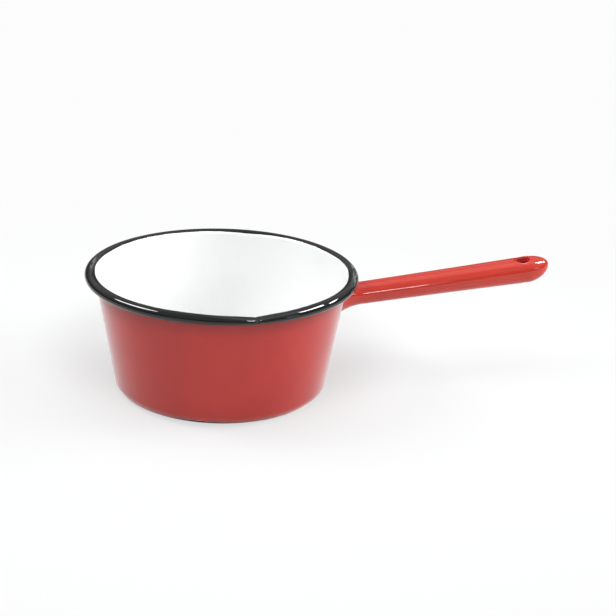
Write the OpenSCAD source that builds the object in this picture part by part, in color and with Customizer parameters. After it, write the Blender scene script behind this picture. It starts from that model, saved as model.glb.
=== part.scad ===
// Enamelled steel saucepan: a pressed pan with a rolled rim and a pouring lip, and a hollow
// handle with a flared root. Origin: centre of the underside, on the surface it stands on.
// The handle runs along +X, the lip faces -Y and +Z is up. Millimetres and degrees.

/* [Pan] */
// Diameter over the rolled rim
rim_d = 168; // [150:1:200]
// Height from the underside to the top of the rim
pan_h = 77; // [70:0.2:110]
// Diameter of the flat underside, inside the rounded corner
flat_d = 115.8; // [90:0.2:124]
// Outer radius of the corner between underside and wall
corner_r = 8.6; // [6:0.2:16]
// Thickness of the pressed sheet
steel_t = 0.8; // [0.5:0.05:1.2]
// Thickness of each coat of enamel
enamel_t = 0.2; // [0.1:0.05:0.35]

/* [Rolled rim] */
// Width of the rolled rim, from the inside of the pan outwards
bead_w = 7.4; // [6.4:0.1:9]
// Height of the rolled rim
bead_h = 6.1; // [5.4:0.1:7]
// Direction of the sheet's end from the middle of the roll
curl_end = -135; // [-140:1:-90]

/* [Pouring lip] */
// How far the top of the rim is pressed down at the lip
lip_drop_h = 1.75; // [0:0.05:2.2]
// How far the underside of the rim lifts at the lip
lip_rise_h = 0.5; // [0:0.05:0.8]
// How far the wall and rim are drawn outwards at the lip
lip_spread_w = 0.9; // [0:0.05:3]
// How far down the wall the lip reaches, below the rim
lip_depth_h = 26; // [12:1:36]
// Angle from the middle of the lip to its side
lip_half_angle = 32; // [20:1:42]
// Angle from the middle of the lip to the side of its crease
crease_half_angle = 8; // [5:0.5:14]

/* [Handle] */
// Length from the pan's wall to the tip
handle_l = 144.5; // [110:0.5:170]
// Distance of the handle's middle at the wall below the top of the rim
root_drop_h = 23.1; // [20.8:0.1:30]
// Angle at which the handle rises
handle_rise = 4.4; // [0:0.1:12]
// Diameter of the flared root on the wall
root_d = 25; // [21:0.5:28]
// Length of the flare
flare_l = 17; // [10:0.5:24]
// Width of the handle at its neck, past the flare
neck_w = 14.2; // [12:0.1:17]
// Height of the handle at its neck
neck_h = 13.6; // [11:0.1:16]
// Width of the handle at its grip, before the rounded end
grip_w = 18.8; // [18:0.1:24]
// Height of the handle at its grip
grip_h = 15.8; // [13:0.1:18]
// Length of the rounded end
nose_l = 15.8; // [12:0.1:20]
// How far the tip lies above the middle line of the handle
nose_lift_h = 1.9; // [0:0.1:2.4]
// Thickness of the handle's sheet
handle_t = 0.9; // [0.6:0.05:1.3]

/* [Hanging hole] */
// Diameter of the hole through the handle, over its enamel
hole_d = 11; // [8:0.2:12]
// Distance from the tip to the middle of the hole
hole_inset = 18; // [16:0.5:26]
// Height of the collar where the edge of the hole is turned in
collar_h = 4; // [1.8:0.1:5]

/* [Welds] */
// Size of the weld between the root and the wall
weld_w = 1.4; // [0.8:0.1:2]
// Height of the seam weld inside the handle
seam_h = 0.5; // [0.3:0.05:0.8]

/* [Hidden] */
$fn = 96;

// Clearance between parts that are joined along a curved face
seat_gap = 0.02;
// Overrun of a cut past the face that it leaves
cut_past = 2;

rim_r = rim_d / 2;
flat_r = flat_d / 2;
wall_t = steel_t + 2 * enamel_t;
bead_r = rim_r - bead_w / 2;
bead_z = pan_h - bead_h / 2;
bead_low = pan_h - bead_h;
root_z = pan_h - root_drop_h;

// The wall is the line from the inner side of the rim that touches the corner's arc.
wall_reach = [rim_r - bead_w + wall_t - flat_r, bead_z - corner_r];
lean = acos(corner_r / norm(wall_reach)) - atan2(wall_reach[1], wall_reach[0]);

// Shares of the way along the pressed sheet: 0 to 1 is the flat base, 1 to 2 the corner, 2 to 3
// the wall, and 3 to 6 the rolled rim, which reaches its top at 4 and its outside at 5.
base_shares = [0, 1, 1.2];
corner_shares = [1.2, 1.4, 1.6, 1.8, 2];
wall_shares = [2.56, 2.7, 2.82, 2.91, 2.96];
white_shares = [3, 3.25, 3.5];
black_shares = [3.5, 3.75, 4, 4.25, 4.5, 4.75, 5, 5.2, 5.4, 5.6, 5.8, 6];
outer_shares = concat(corner_shares, wall_shares);
inner_shares = concat(base_shares, without_first(outer_shares), white_shares);
steel_shares = concat(inner_shares, without_first(black_shares));

// Directions round the quarter of the pan that holds the lip, closer together at its crease
lip_steps = 12;
lip_middle = 45;
lip_crowding = 1.4;
broad_share = 0.6;
crease_power = 1.5;
lip_turns = [for (i = [-lip_steps : lip_steps])
             lip_middle * (1 + sign(i) * pow(abs(i) / lip_steps, lip_crowding))];

// Handle rings
sides = 24;
neck_power = 2;
grip_power = 2.4;
squaring_power = 3;
seam_share = 0.4;
flare_power = 2.2;
flare_rings = 6;
grip_rings = 8;
nose_rings = 6;
root_x = wall_x([0, root_z]);
tip_x = root_x + handle_l;
hole_x = tip_x - hole_inset;
root_r = root_d / 2;
steel_hole_r = hole_d / 2 + enamel_t;

function mix(a, b, share) = a + (b - a) * share;
function without_first(list) = [for (i = [1 : len(list) - 1]) list[i]];

// Point of the sheet at depth d below the outside of the pan, at a share of the way along it
function corner_point(d, turn) =
    [flat_r + (corner_r - d) * sin(turn), corner_r - (corner_r - d) * cos(turn)];
function bead_half(d) = [bead_w / 2 - wall_t + d, bead_h / 2 - wall_t + d];
function bead_point(d, turn) =
    [bead_r + bead_half(d)[0] * cos(turn), bead_z + bead_half(d)[1] * sin(turn)];
function bead_start(d) = 180 - atan(bead_half(d)[1] / bead_half(d)[0] * tan(lean));
function sheet_point(d, s) =
    s <= 1 ? [flat_r * s, d]
    : s <= 2 ? corner_point(d, (s - 1) * (90 - lean))
    : s <= 3 ? mix(corner_point(d, 90 - lean), bead_point(d, bead_start(d)), s - 2)
    : s <= 4 ? bead_point(d, mix(bead_start(d), 90, s - 3))
    : bead_point(d, s <= 5 ? 90 * (5 - s) : curl_end * (s - 5));

// Strength of the lip at an angle from its middle, and where it moves a point of the profile
function lip_strength(turn) =
    let (away = abs(turn),
         broad = away < lip_half_angle ? pow(cos(90 * away / lip_half_angle), 2) : 0,
         crease = pow(max(0, 1 - away / crease_half_angle), crease_power))
    mix(crease, broad, broad_share);
function ramp(value) = let (v = min(1, max(0, value))) v * v * (3 - 2 * v);
function lip_moved(p, turn) =
    let (w = lip_strength(turn),
         low = ramp((p[1] - bead_low + lip_depth_h) / lip_depth_h),
         high = min(1, max(0, (p[1] - bead_low) / bead_h)))
    [p[0] + w * lip_spread_w * low,
     p[1] + w * (lip_rise_h * low - (lip_rise_h + lip_drop_h) * high)];
function turned(p, turn) = [p[0] * cos(turn), p[0] * sin(turn), p[1]];

// Two triangles of a quad, without the ones that have no area
function quad(a, b, c, d) =
    [for (t = [[a, b, c], [a, c, d]]) if (t[0] != t[1] && t[1] != t[2] && t[2] != t[0]) t];
function flat_list(lists) = [for (l = lists) each l];

// Layer of the pan between two depths, as an exact revolve and the shaped quarter with the lip
module layer(outside, inside, shares) {
    rotate([0, 0, -90 - lip_middle]) {
        rotate([0, 0, 90])
            rotate_extrude(angle = 270)
                layer_outline(outside, inside, shares);
        lip_quarter(outside, inside, shares);
    }
}

module layer_outline(outside, inside, shares) {
    last = len(shares) - 1;
    polygon(concat([for (s = shares) sheet_point(outside, s)],
                   [for (i = [last : -1 : 0]) sheet_point(inside, shares[i])]));
}

module lip_quarter(outside, inside, shares) {
    rows = len(shares);
    cols = len(lip_turns);
    from_axis = shares[0] == 0;
    points = [for (d = [outside, inside]) for (s = shares) for (turn = lip_turns)
              turned(lip_moved(sheet_point(d, s), turn - lip_middle), turn)];
    function at(face, i, j) = face * rows * cols + i * cols + (from_axis && i == 0 ? 0 : j);
    skins = [for (i = [0 : rows - 2]) for (j = [0 : cols - 2]) each concat(
             quad(at(0, i, j), at(0, i + 1, j), at(0, i + 1, j + 1), at(0, i, j + 1)),
             quad(at(1, i, j), at(1, i, j + 1), at(1, i + 1, j + 1), at(1, i + 1, j)))];
    ends = [for (j = [0 : cols - 2]) each concat(
            quad(at(0, rows - 1, j), at(1, rows - 1, j),
                 at(1, rows - 1, j + 1), at(0, rows - 1, j + 1)),
            from_axis ? [] : quad(at(0, 0, j), at(0, 0, j + 1), at(1, 0, j + 1), at(1, 0, j)))];
    caps = [for (i = [0 : rows - 2]) each concat(
            quad(at(0, i, 0), at(1, i, 0), at(1, i + 1, 0), at(0, i + 1, 0)),
            quad(at(0, i, cols - 1), at(0, i + 1, cols - 1),
                 at(1, i + 1, cols - 1), at(1, i, cols - 1)))];
    polyhedron(points, concat(skins, ends, caps));
}

// Distance of the steel wall from the pan's axis at a height, and along X at a point [y, z]
function wall_r(z) =
    let (foot = corner_point(enamel_t, 90 - lean)) foot[0] + (z - foot[1]) * tan(lean);
function wall_x(p) = sqrt(pow(wall_r(p[1]), 2) - pow(p[0], 2));

// Middle line, half sizes and roundness of the handle at a distance from the wall
function handle_z(along) =
    root_z + along * tan(handle_rise)
    + nose_lift_h * pow(max(0, (along - handle_l + nose_l) / nose_l), 2);
function flare_share(along) = pow(max(0, 1 - along / flare_l), flare_power);
function grip_share(along) = min(1, along / (handle_l - nose_l));
function half_size(neck, grip, along) =
    mix(mix(neck, grip, grip_share(along)) / 2, root_r, flare_share(along));

// One ring of the handle: out is the distance outside the sheet's outer face, and narrow is the
// share of its size that the rounded end leaves it.
function section(along, out, narrow) =
    let (power = mix(neck_power, grip_power, pow(grip_share(along), squaring_power)),
         settled = min(1, along / flare_l),
         half_w = (half_size(neck_w, grip_w, along) + out) * narrow,
         half_h = (half_size(neck_h, grip_h, along) + out) * narrow)
    [for (i = [0 : sides - 1])
     let (turn = 360 * i / sides,
          c = cos(turn),
          s = sin(turn),
          y = half_w * sign(c) * pow(abs(c), 2 / power),
          z = handle_z(along) + half_h * sign(s) * pow(abs(s), 2 / power))
     [along + seat_gap + mix(wall_x([y, z]), root_x, settled), y, z]];

// Rings of a skin of the handle, from the wall to the last ring before its tip
function skin_rings(out) =
    let (nose = nose_l + out,
         start = handle_l - nose_l)
    concat([for (i = [0 : flare_rings - 1]) section(flare_l * i / flare_rings, out, 1)],
           [for (i = [0 : grip_rings - 1])
            section(mix(flare_l, start, i / grip_rings), out, 1)],
           [for (i = [0 : nose_rings - 1])
            let (turn = 90 * i / nose_rings)
            section_at(start + nose * sin(turn), start, out, cos(turn))]);
function section_at(along, start, out, narrow) =
    [for (p = section(start, out, narrow))
     [p[0] + along - start, p[1], p[2] + handle_z(along) - handle_z(start)]];
function skin_tip(out) =
    [root_x + seat_gap + handle_l + out, 0, handle_z(handle_l + out)];

// Solid between two skins, or inside one skin when there is no second one
module handle_solid(skins) {
    rings = [for (out = skins) skin_rings(out)];
    count = len(rings[0]);
    size = count * sides + 1;
    root_middle = [wall_x([0, root_z]) + seat_gap, 0, root_z];
    points = concat(flat_list([for (k = [0 : len(skins) - 1])
                               concat(flat_list(rings[k]), [skin_tip(skins[k])])]),
                    [root_middle]);
    function at(k, i, j) = k * size + i * sides + j % sides;
    function skin_faces(k) = concat(
        [for (i = [0 : count - 2]) for (j = [0 : sides - 1])
         each quad(at(k, i, j), at(k, i + 1, j), at(k, i + 1, j + 1), at(k, i, j + 1))],
        [for (j = [0 : sides - 1])
         [at(k, count - 1, j), (k + 1) * size - 1, at(k, count - 1, j + 1)]]);
    function reversed(faces) = [for (f = faces) [f[2], f[1], f[0]]];
    root = len(skins) == 1
        ? [for (j = [0 : sides - 1]) [at(0, 0, j), at(0, 0, j + 1), size]]
        : [for (j = [0 : sides - 1])
           each quad(at(0, 0, j), at(0, 0, j + 1), at(1, 0, j + 1), at(1, 0, j))];
    inner = len(skins) == 1 ? [] : reversed(skin_faces(1));
    polyhedron(points, concat(skin_faces(0), inner, root));
}

// Place of the hanging hole, square to the handle's middle line
module at_hole() {
    translate([hole_x, 0, handle_z(handle_l - hole_inset)])
        rotate([0, -handle_rise, 0])
            children();
}

module hole_cut(r) {
    at_hole()
        cylinder(h = grip_h + 2 * cut_past, r = r, center = true);
}

// Turned-in edges of the hanging hole, above and below, within a skin of the handle
module hole_collars(out, r) {
    intersection() {
        handle_solid([out]);
        at_hole()
            difference() {
                cylinder(h = grip_h + 2 * cut_past, r = r, center = true);
                cylinder(h = grip_h - 2 * collar_h, r = r + cut_past, center = true);
            }
    }
}

// Pressed sheet: base, wall, rolled rim and pouring lip in one piece
module steel_pan() {
    color("slategray")
        layer(enamel_t, enamel_t + steel_t, steel_shares);
}

// White enamel inside, up to the black of the rim
module inner_coat() {
    color("white")
        layer(enamel_t + steel_t, wall_t, inner_shares);
}

// Red enamel on the outside of the wall, open where the handle's root is joined to the steel
module outer_coat() {
    color("firebrick")
        difference() {
            layer(0, enamel_t, outer_shares);
            translate([0, 0, root_z])
                rotate([0, 90, 0])
                    cylinder(h = rim_r, r = root_r + enamel_t + seat_gap);
        }
}

// Dark ground coat on the underside, which the pan stands on
module base_coat() {
    color("black")
        rotate_extrude()
            layer_outline(0, enamel_t, base_shares);
}

// Black enamel over the rolled rim
module rim_coat() {
    color("black")
        layer(enamel_t + steel_t, wall_t, black_shares);
}

// Hollow handle with its flared root, rounded end and turned-in hanging hole
module handle_shell() {
    color("slategray")
        difference() {
            union() {
                handle_solid([0, -handle_t]);
                hole_collars(0, steel_hole_r + handle_t);
            }
            hole_cut(steel_hole_r);
        }
}

// Red enamel on the handle and in its hanging hole
module handle_coat() {
    color("red")
        difference() {
            union() {
                handle_solid([enamel_t, 0]);
                hole_collars(enamel_t, steel_hole_r);
            }
            hole_cut(hole_d / 2);
        }
}

// Ring of weld inside the flared root, between it and the wall
module root_weld() {
    inside = -handle_t - seat_gap;
    outer = section(0, inside, 1);
    inner = section(0, inside - weld_w, 1);
    upper = section(weld_w, inside - seat_gap, 1);
    points = concat(outer, inner, upper);
    function at(k, j) = k * sides + j % sides;
    faces = [for (j = [0 : sides - 1]) each concat(
             quad(at(0, j), at(0, j + 1), at(1, j + 1), at(1, j)),
             quad(at(1, j), at(1, j + 1), at(2, j + 1), at(2, j)),
             quad(at(2, j), at(2, j + 1), at(0, j + 1), at(0, j)))];
    color("dimgray")
        polyhedron(points, faces);
}

// Weld along the seam, on the inside of the handle's underside
module handle_seam() {
    bottom = sides * 3 / 4;
    rings = [for (i = [flare_rings : flare_rings + grip_rings - 1])
             skin_rings(-handle_t)[i]];
    lifted = [0, 0, seat_gap];
    raised = [0, 0, seam_h];
    corners = 4;
    points = flat_list([for (r = rings)
                        [r[bottom] + lifted,
                         mix(r[bottom], r[bottom + 1], seam_share) + lifted,
                         r[bottom] + raised,
                         mix(r[bottom], r[bottom - 1], seam_share) + lifted]]);
    last = len(rings) - 1;
    function at(i, j) = i * corners + j % corners;
    color("dimgray")
        polyhedron(points, concat(
            [for (i = [0 : last - 1]) for (j = [0 : corners - 1])
             each quad(at(i, j), at(i + 1, j), at(i + 1, j + 1), at(i, j + 1))],
            quad(at(0, 0), at(0, 1), at(0, 2), at(0, 3)),
            quad(at(last, 0), at(last, 3), at(last, 2), at(last, 1))));
}

steel_pan();
inner_coat();
outer_coat();
base_coat();
rim_coat();
handle_shell();
handle_coat();
root_weld();
handle_seam();
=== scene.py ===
"""Looks of an enamelled steel saucepan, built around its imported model.

The pan's and handle's enamel are smooth sheets worked out from the same sizes as the solids, in
metres, in the model's own frame: the handle runs along +X, the lip faces -Y and +Z is up.
"""
import logging
import math
from dataclasses import dataclass, field
from enum import Enum
from functools import cached_property
from typing import Any, Callable, Optional, Sequence, Union

import bmesh
import bpy
import numpy as np
from mathutils import Matrix, Vector


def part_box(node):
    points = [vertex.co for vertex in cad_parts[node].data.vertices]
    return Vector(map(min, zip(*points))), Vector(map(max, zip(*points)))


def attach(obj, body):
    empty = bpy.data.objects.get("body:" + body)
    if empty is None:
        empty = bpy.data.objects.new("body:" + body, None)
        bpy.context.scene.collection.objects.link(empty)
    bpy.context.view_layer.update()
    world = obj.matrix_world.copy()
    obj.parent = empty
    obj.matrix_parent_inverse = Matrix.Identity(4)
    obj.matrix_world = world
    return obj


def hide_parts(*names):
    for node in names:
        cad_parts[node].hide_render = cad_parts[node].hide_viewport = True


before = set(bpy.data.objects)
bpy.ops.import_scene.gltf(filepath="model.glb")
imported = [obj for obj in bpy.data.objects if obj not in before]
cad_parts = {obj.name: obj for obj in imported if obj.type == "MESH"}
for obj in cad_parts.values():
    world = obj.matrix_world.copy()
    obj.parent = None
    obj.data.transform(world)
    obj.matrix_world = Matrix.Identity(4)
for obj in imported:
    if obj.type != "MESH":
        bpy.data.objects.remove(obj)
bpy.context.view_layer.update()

LOG = logging.getLogger("saucepan")
MM = 0.001
BODY = "root"
LIP_TURN = -math.pi / 2

Span = tuple[float, float]
Triple = tuple[float, float, float]
Colour = Triple
Number = Union["Wire", float]
Sockets = dict[Union[str, int], Any]


class Slot(Enum):
    """Names of material slots, listed beside the solids' finishes."""

    STEEL = "pressed_steel"
    WHITE = "white_enamel"
    RED = "red_enamel"
    BLACK = "black_enamel"
    GROUND = "ground_enamel"
    HANDLE = "handle_enamel"
    WELD = "weld_metal"


class Wire:
    """A socket of a shader that sums and products can be written with."""

    def __init__(self, shader: "Shader", socket: bpy.types.NodeSocket) -> None:
        """Keeps the socket and the shader that it belongs to."""
        self.shader = shader
        self.socket = socket

    def _math(self, operation: str, first: Number, second: Number) -> "Wire":
        """Result of a Math node with two values or links."""
        return self.shader.node("ShaderNodeMath", {"operation": operation}, {0: first, 1: second})[0]

    def __add__(self, other: Number) -> "Wire":
        """Sum of two values."""
        return self._math("ADD", self, other)

    def __radd__(self, other: Number) -> "Wire":
        """Sum of two values."""
        return self._math("ADD", other, self)

    def __sub__(self, other: Number) -> "Wire":
        """Difference of two values."""
        return self._math("SUBTRACT", self, other)

    def __rsub__(self, other: Number) -> "Wire":
        """Difference of two values."""
        return self._math("SUBTRACT", other, self)

    def __mul__(self, other: Number) -> "Wire":
        """Product of two values."""
        return self._math("MULTIPLY", self, other)

    def __rmul__(self, other: Number) -> "Wire":
        """Product of two values."""
        return self._math("MULTIPLY", other, self)


class Outputs:
    """The outputs of one node, by name or by place."""

    def __init__(self, shader: "Shader", node: bpy.types.Node) -> None:
        """Keeps the node and its shader."""
        self.shader = shader
        self.node = node

    def __getitem__(self, key: Union[str, int]) -> Wire:
        """The wire from one output."""
        return Wire(self.shader, self.node.outputs[key])


class Shader:
    """The node tree of one material or world, and the steps that its recipes share."""

    def __init__(self, owner: Union[bpy.types.Material, bpy.types.World]) -> None:
        """Empties the owner's node tree.

        Args:
            owner: The material or world whose nodes are made here.
        """
        owner.use_nodes = True
        self.tree = owner.node_tree
        self.tree.nodes.clear()

    def node(self, kind: str, settings: dict[str, Any], sockets: Sockets) -> Outputs:
        """Adds one node.

        Args:
            kind: The node's type.
            settings: Its own settings, which are set first.
            sockets: Values or wires of its input sockets, by name or by place.

        Returns:
            The node's outputs.
        """
        made = self.tree.nodes.new(kind)
        for name, value in settings.items():
            setattr(made, name, value)
        for key, value in sockets.items():
            if isinstance(value, Wire):
                self.tree.links.new(value.socket, made.inputs[key])
            else:
                made.inputs[key].default_value = value
        return Outputs(self, made)

    def vector(self, operation: str, *inputs: Union[Wire, Vector, Triple]) -> Outputs:
        """Outputs of a Vector Math node with these inputs."""
        return self.node("ShaderNodeVectorMath", {"operation": operation}, dict(enumerate(inputs)))

    @cached_property
    def place(self) -> Wire:
        """Place of the shaded point in the model's frame, in metres."""
        return self.node("ShaderNodeTexCoord", {}, {})["Object"]

    def axes(self, vector: Wire) -> Outputs:
        """The three parts of a vector."""
        return self.node("ShaderNodeSeparateXYZ", {}, {0: vector})

    def ray(self) -> Outputs:
        """What kind of ray asks for the colour."""
        return self.node("ShaderNodeLightPath", {}, {})

    def noise(self, size: float, detail: float, roughness: float = 0.5, at: Optional[Wire] = None) -> Wire:
        """Smooth noise from 0 to 1.

        Args:
            size: Size of its patches in metres.
            detail: How many finer layers it has.
            roughness: How strong the finer layers are.
            at: Where it is read, if not at the shaded point.

        Returns:
            The noise.
        """
        sockets = {"Vector": at or self.place, "Scale": 1 / size, "Detail": detail, "Roughness": roughness}
        return self.node("ShaderNodeTexNoise", {}, sockets)["Fac"]

    def band(self, value: Number, start: float, end: float) -> Wire:
        """Smooth step of a value, 0 at start and 1 at end."""
        sockets = {"Value": value, "From Min": start, "From Max": end, "To Min": 0.0, "To Max": 1.0}
        return self.node("ShaderNodeMapRange", {"interpolation_type": "SMOOTHSTEP"}, sockets)["Result"]

    def mix(self, share: Number, first: Union[Wire, Colour], second: Union[Wire, Colour]) -> Wire:
        """Mix of two colours.

        Args:
            share: How much of the second colour there is.
            first: The colour at 0.
            second: The colour at 1.

        Returns:
            The mixed colour.
        """
        first, second = ((*c, 1.0) if isinstance(c, tuple) else c for c in (first, second))
        sockets = {"Factor": share, 6: first, 7: second}
        return self.node("ShaderNodeMix", {"data_type": "RGBA"}, sockets)[2]

    def stretched(self, scale: Triple) -> Wire:
        """Place of the shaded point with its parts scaled."""
        return self.vector("MULTIPLY", self.place, scale)[0]

    def bump(self, height: Wire, depth: float) -> Wire:
        """Normal of a surface raised by a height from 0 to 1, of which 1 measures the depth."""
        return self.node("ShaderNodeBump", {}, {"Strength": 1.0, "Distance": depth, "Height": height})[0]


@dataclass(frozen=True)
class Finish:
    """A finish that one Blender material is made from."""

    name: str

    def sockets(self, shader: Shader) -> Sockets:
        """Values and wires of the Principled shader, which each finish gives."""
        raise NotImplementedError

    def material(self) -> bpy.types.Material:
        """Makes the Blender material.

        Returns:
            The material.
        """
        made = bpy.data.materials.new(self.name)
        shader = Shader(made)
        surface = shader.node("ShaderNodeBsdfPrincipled", {}, self.sockets(shader))["BSDF"]
        shader.node("ShaderNodeOutputMaterial", {}, {"Surface": surface})
        return made


@dataclass(frozen=True)
class VitreousEnamel(Finish):
    """Fired glass enamel: glossy, faintly mottled, with a shallow orange peel and rare pinholes."""

    colour: Colour
    mottle: Colour
    mottle_share: float = 0.5
    mottle_size: float = 34 * MM
    mottle_band: Span = (0.35, 0.7)
    roughness: float = 0.05
    smudge: float = 0.05
    smudge_size: float = 22 * MM
    smudge_band: Span = (0.45, 0.8)
    peel_depth: float = 0.004 * MM
    peel_size: float = 3.2 * MM
    speck: Colour = (0.02, 0.015, 0.015)
    speck_size: float = 2.6 * MM
    speck_edge: float = 0.055
    speck_rarity: Span = (0.66, 0.72)
    ior: float = 1.52
    haze: float = 0.0
    haze_spread: float = 0.3

    def tint(self, shader: Shader) -> Wire:
        """Colour of the enamel over the surface.

        Args:
            shader: The shader that is built.

        Returns:
            The colour.
        """
        patches = shader.band(shader.noise(self.mottle_size, detail=3.0), *self.mottle_band)
        mottled = shader.mix(patches * self.mottle_share, self.colour, self.mottle)
        reach = shader.node("ShaderNodeTexVoronoi", {}, {
            "Vector": shader.place, "Scale": 1 / self.speck_size})["Distance"]
        rare = shader.band(shader.noise(self.speck_size * 3, detail=0.0), *self.speck_rarity)
        specks = (1 - shader.band(reach, self.speck_edge / 2, self.speck_edge)) * rare
        return shader.mix(specks, mottled, self.speck)

    def relief(self, shader: Shader) -> Wire:
        """Height of the orange peel over the surface, from 0 to 1."""
        return shader.noise(self.peel_size, detail=1.0)

    def sockets(self, shader: Shader) -> Sockets:
        """Gives the enamel's sockets.

        Args:
            shader: The shader that is built.

        Returns:
            Values and wires of the Principled shader.
        """
        smudges = shader.band(shader.noise(self.smudge_size, detail=4.0), *self.smudge_band)
        return {
            "Base Color": self.tint(shader),
            "Roughness": self.roughness + smudges * self.smudge,
            "Normal": shader.bump(self.relief(shader), self.peel_depth),
            "IOR": self.ior,
            "Sheen Weight": self.haze,
            "Sheen Roughness": self.haze_spread,
        }


@dataclass(frozen=True)
class BrushedRimEnamel(VitreousEnamel):
    """Black enamel laid on the rolled rim with a brush, in faint ridges that follow the rim.

    It is rougher in streaks in a few places, and greyer there as a painted reflection. Each place
    is given by its direction in degrees and by its nearest and farthest distance from the pan's
    axis in millimetres.
    """

    rim_radius: float = 84 * MM
    ridge_size: float = 1.6 * MM
    ridge_run: float = 45 * MM
    ridge_share: float = 0.8
    swell_size: float = 9 * MM
    painted_reflection_grey: Colour = (0.20, 0.20, 0.195)
    dull_reflection_places: tuple[Triple, ...] = ((162, 77.0, 80.8), (-15, 80.4, 83.2))
    dull_blur: float = 0.5
    dull_reach: float = 24
    dull_full: float = 0.975
    dull_size: float = 0.9 * MM
    dull_run: float = 8 * MM
    dull_band: Span = (0.38, 0.66)
    dull_roughness: float = 0.3

    def streaks(self, shader: Shader, size: float, run: float, detail: float) -> Wire:
        """Noise in streaks that run with the rim.

        Args:
            shader: The shader that is built.
            size: Width of the streaks.
            run: Their length.
            detail: How many finer layers they have.

        Returns:
            The noise, from 0 to 1.
        """
        parts = shader.axes(shader.place)
        around = shader.node("ShaderNodeMath", {"operation": "ARCTAN2"}, {0: parts["Y"], 1: parts["X"]})[0]
        drawn_in = shader.node("ShaderNodeCombineXYZ", {}, {
            "X": around * (self.rim_radius * size / run), "Y": self.radius(shader), "Z": parts["Z"]})
        return shader.noise(size, detail, at=drawn_in["Vector"])

    def radius(self, shader: Shader) -> Wire:
        """Distance from the pan's axis."""
        return shader.vector("LENGTH", shader.stretched((1.0, 1.0, 0.0)))["Value"]

    def relief(self, shader: Shader) -> Wire:
        """Height of the brush ridges over the surface, from 0 to 1."""
        ridges = self.streaks(shader, self.ridge_size, self.ridge_run, detail=2.0) * self.ridge_share
        return ridges + shader.noise(self.swell_size, detail=1.0) * (1 - self.ridge_share)

    def dullness_and_reflection(self, shader: Shader) -> Wire:
        """Where the enamel is rougher and greyer as a painted reflection, in streaks.

        Args:
            shader: The shader that is built.

        Returns:
            The dullness, from 0 to 1.
        """
        radius = self.radius(shader)
        edge = math.cos(math.radians(self.dull_reach))
        where: Number = 0.0
        for turn, inner, outer in self.dull_reflection_places:
            around = math.radians(turn)
            toward_it = (math.cos(around), math.sin(around), 0.0)
            reach = shader.vector("DOT_PRODUCT", shader.place, toward_it)["Value"]
            near = shader.band(reach, self.rim_radius * edge, self.rim_radius * self.dull_full)
            beyond = [shader.band(radius, (at - self.dull_blur) * MM, (at + self.dull_blur) * MM)
                      for at in (inner, outer)]
            where = near * beyond[0] * (1 - beyond[1]) + where
        streaks = self.streaks(shader, self.dull_size, self.dull_run, detail=3.0)
        return shader.band(streaks, *self.dull_band) * where

    def sockets(self, shader: Shader) -> Sockets:
        """Gives the enamel's sockets, rougher where it is dull and greyer there as a painted reflection.

        Args:
            shader: The shader that is built.

        Returns:
            Values and wires of the Principled shader.
        """
        sockets = super().sockets(shader)
        dullness_and_reflection = self.dullness_and_reflection(shader)
        # Painted reflection: the grey stands in for the room reflected on the rim's sides; the added
        # roughness is real.
        sockets["Base Color"] = shader.mix(dullness_and_reflection, sockets["Base Color"], self.painted_reflection_grey)
        sockets["Roughness"] = sockets["Roughness"] + dullness_and_reflection * self.dull_roughness
        return sockets


@dataclass(frozen=True)
class WallEnamel(VitreousEnamel):
    """Red enamel of the wall, darker in a belt under the rolled rim as painted shade."""

    painted_shade: Colour = (0.18, 0.007, 0.006)
    shade_belt_top: float = 71 * MM
    shade_belt_width: float = 12 * MM
    shade_belt_share: float = 0.72
    drift: float = 3 * MM
    drift_size: float = 12 * MM
    drift_stretch: Triple = (1.0, 1.0, 0.2)

    def tint(self, shader: Shader) -> Wire:
        """Colour of the enamel, darker in the belt under the rim as painted shade.

        Args:
            shader: The shader that is built.

        Returns:
            The colour.
        """
        flowing = shader.stretched(self.drift_stretch)
        waves = shader.noise(self.drift_size, detail=2.0, at=flowing) - 0.5
        height = shader.axes(shader.place)["Z"] + waves * self.drift
        # Painted shade: the wall's colour darkens towards the rolled rim, where the rim's overhang shades
        # it.
        shade_belt = shader.band(height, self.shade_belt_top - self.shade_belt_width, self.shade_belt_top) * self.shade_belt_share
        return shader.mix(shade_belt, super().tint(shader), self.painted_shade)


@dataclass(frozen=True)
class HandleEnamel(VitreousEnamel):
    """Red enamel on the handle, brighter in blotches in and round the hanging hole as painted light and
    glints.
    """

    hole: Vector = field(default_factory=Vector)
    hole_axis: Vector = field(default_factory=lambda: Vector((0, 0, 1)))
    hole_radius: float = 5.5 * MM
    edge_width: float = 1.0 * MM
    painted_hole_light: Colour = (0.74, 0.055, 0.05)
    blotch_size: float = 1.1 * MM
    blotch_band: Span = (0.42, 0.56)
    blotch_share: float = 0.9

    def tint(self, shader: Shader) -> Wire:
        """Colour of the enamel, brighter in blotches at the hole's edge and inside it as painted light.

        Args:
            shader: The shader that is built.

        Returns:
            The colour.
        """
        offset = shader.vector("SUBTRACT", shader.place, self.hole)[0]
        reach = shader.vector("LENGTH", shader.vector("CROSS_PRODUCT", offset, self.hole_axis)[0])["Value"]
        near = 1 - shader.band(reach, self.hole_radius, self.hole_radius + self.edge_width)
        blotches = shader.band(shader.noise(self.blotch_size, detail=2.0), *self.blotch_band)
        # Painted light: the hole's edge and bore are brightened, in glint-like blotches, where they lie in
        # shade.
        share = near * (blotches * self.blotch_share + (1 - self.blotch_share))
        return shader.mix(share, super().tint(shader), self.painted_hole_light)


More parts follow.
